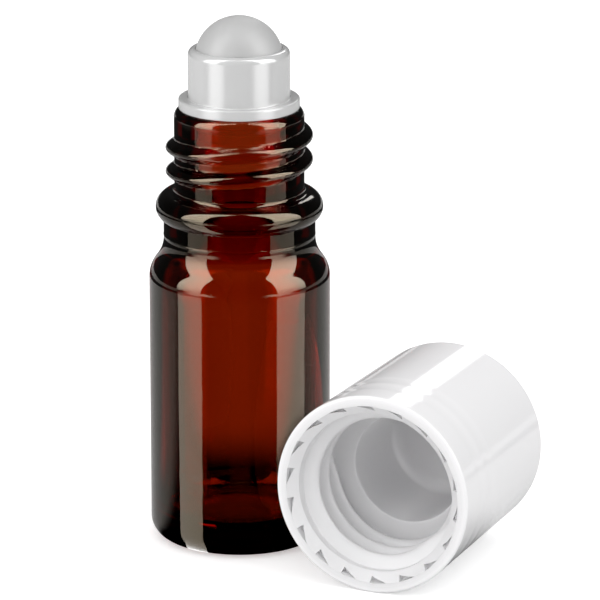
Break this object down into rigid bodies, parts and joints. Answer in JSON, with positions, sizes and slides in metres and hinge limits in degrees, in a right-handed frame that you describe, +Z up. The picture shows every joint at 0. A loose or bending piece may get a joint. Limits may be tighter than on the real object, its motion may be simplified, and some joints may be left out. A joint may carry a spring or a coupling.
{
  "type": "roll on bottle",
  "caption": "Small amber glass bottle with a screw neck, a pull-out roller housing that holds a rolling ball, and a separate white screw cap lying beside it.",
  "frame": {"origin": "centre of the bottle's foot, on the surface that it stands on", "axes": "+Z up along the bottle's axis, -Y towards the front that the picture shows, +X to its right, where the cap lies"},
  "size_m": [0.0482, 0.0383, 0.0658],
  "materials": {
    "amber_glass": "glossy, moulded",
    "white_housing_plastic": "glossy",
    "grey_ball_plastic": "fine satin",
    "white_cap_plastic": "glossy outside, softer inside"
  },
  "bodies": {
    "bottle": {"glass_bottle": "amber_glass"},
    "housing": {"roller_housing": "white_housing_plastic"},
    "ball": {"roller_ball": "grey_ball_plastic"},
    "cap": {"screw_cap": "white_cap_plastic"}
  },
  "joints": [
    {"name": "housing_pull", "type": "slide", "parent": "bottle", "child": "housing", "axis": [0, 0, 1], "range_m": [0, 0.0075]},
    {"name": "ball_roll", "type": "hinge", "parent": "housing", "child": "ball", "pos_m": [0, 0, 0.06039], "axis": [1, 0, 0], "continuous": true},
    {"name": "cap_turn", "type": "hinge", "parent": "bottle", "child": "cap", "pos_m": [0.01591, -0.02251, 0.0123], "axis": [0.3907, 0.9204, -0.0112], "continuous": true}
  ]
}
